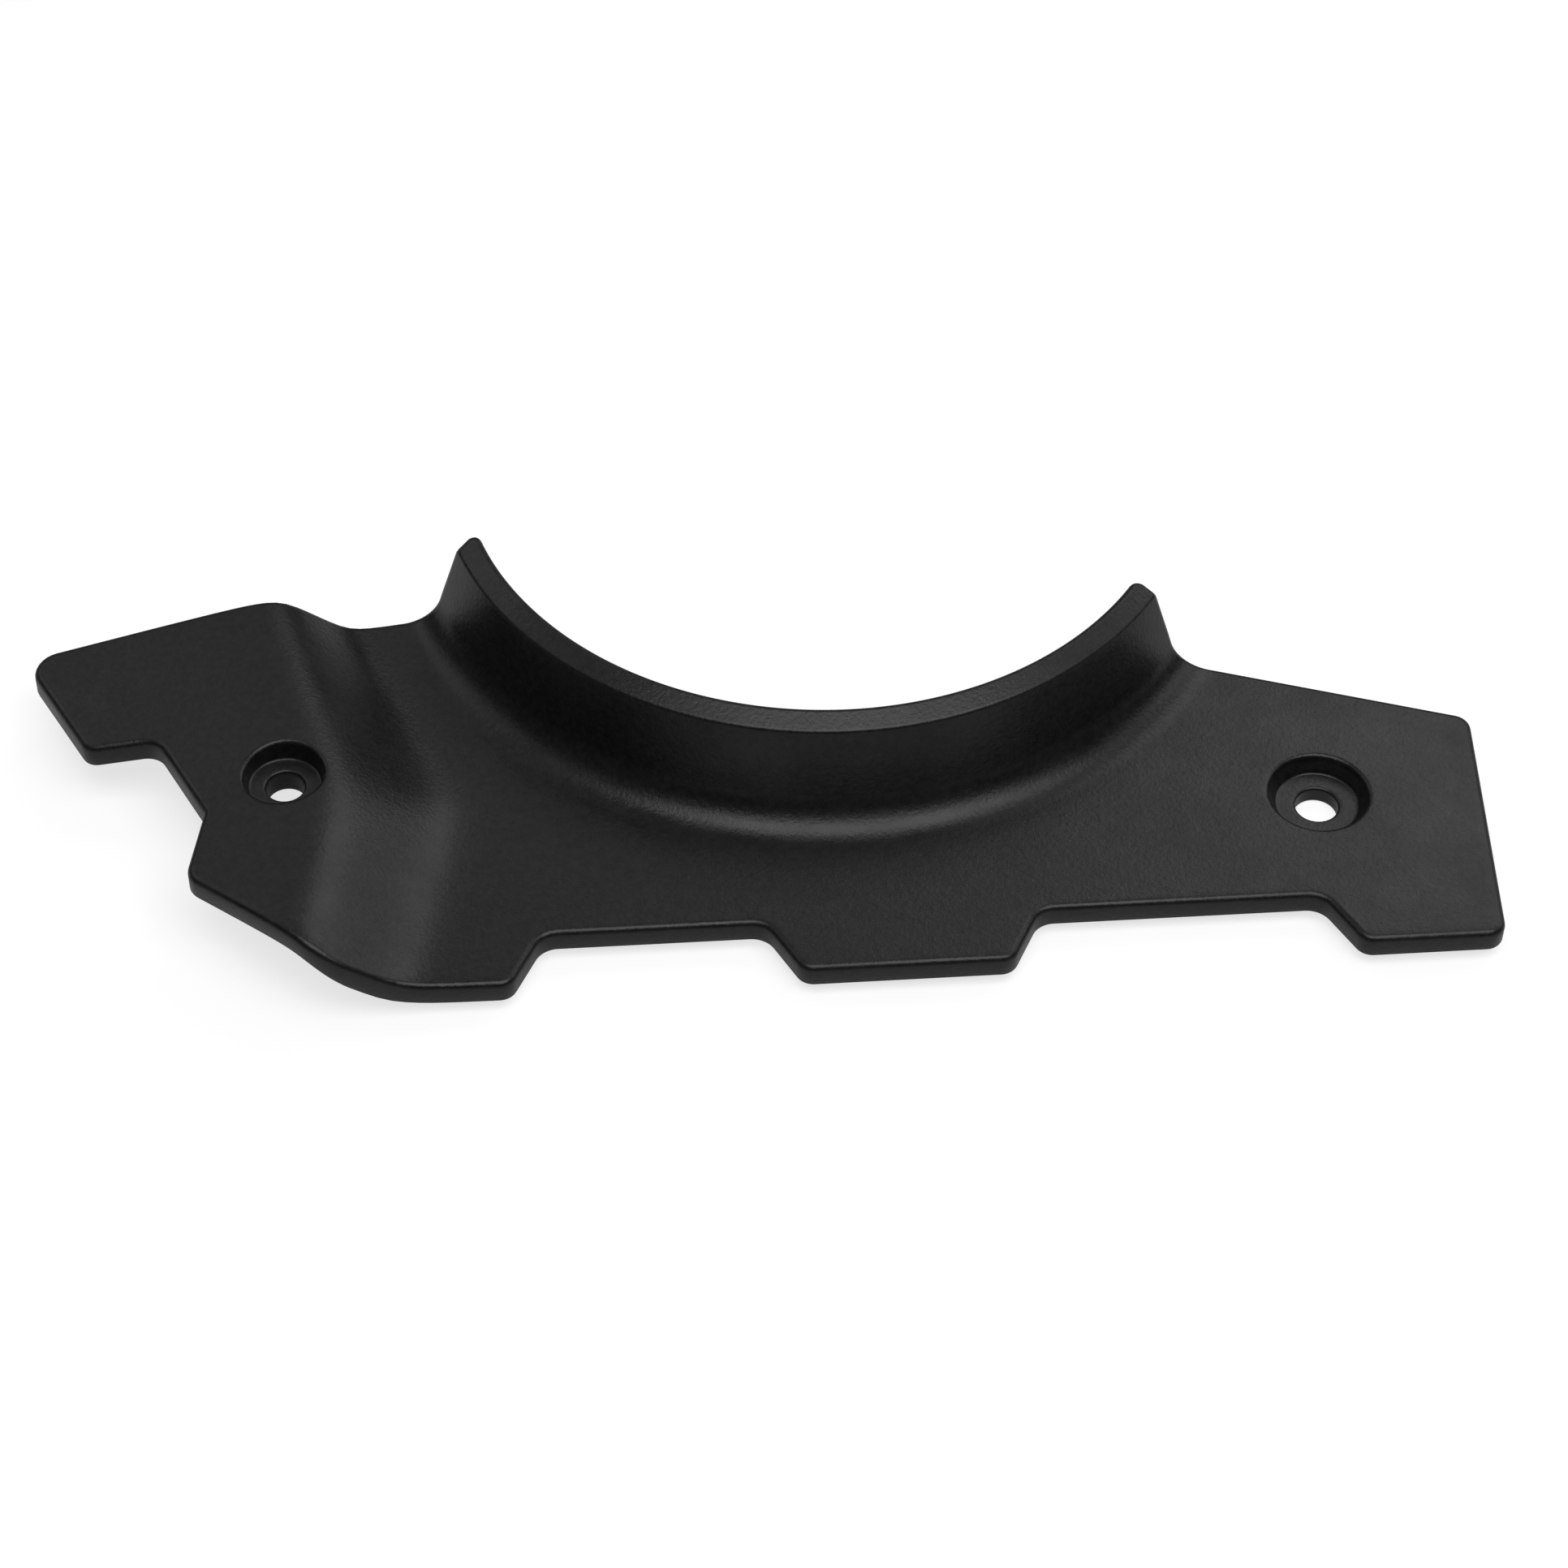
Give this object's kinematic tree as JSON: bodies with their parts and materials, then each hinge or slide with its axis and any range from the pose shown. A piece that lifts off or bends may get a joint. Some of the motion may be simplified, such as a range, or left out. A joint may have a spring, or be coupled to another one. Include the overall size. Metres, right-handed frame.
{
  "type": "motorbike lower side panel",
  "caption": "Black moulded lower side panel for a motorbike: a thin flanged plate with a half-round collar, a raised wing at one end, notched long edge and two recessed bolt holes.",
  "frame": {"origin": "the middle of the panel's box in plan, level with the surface the panel lies on", "axes": "+Z out of the panel's show face along the collar's axis, +X along the panel away from the raised wing, -Y towards the notched long edge"},
  "size_m": [0.2362, 0.083, 0.0237],
  "materials": {
    "moulding": "fine moulded grain, satin black"
  },
  "bodies": {
    "root": {"side_panel": "moulding"}
  },
  "joints": []
}
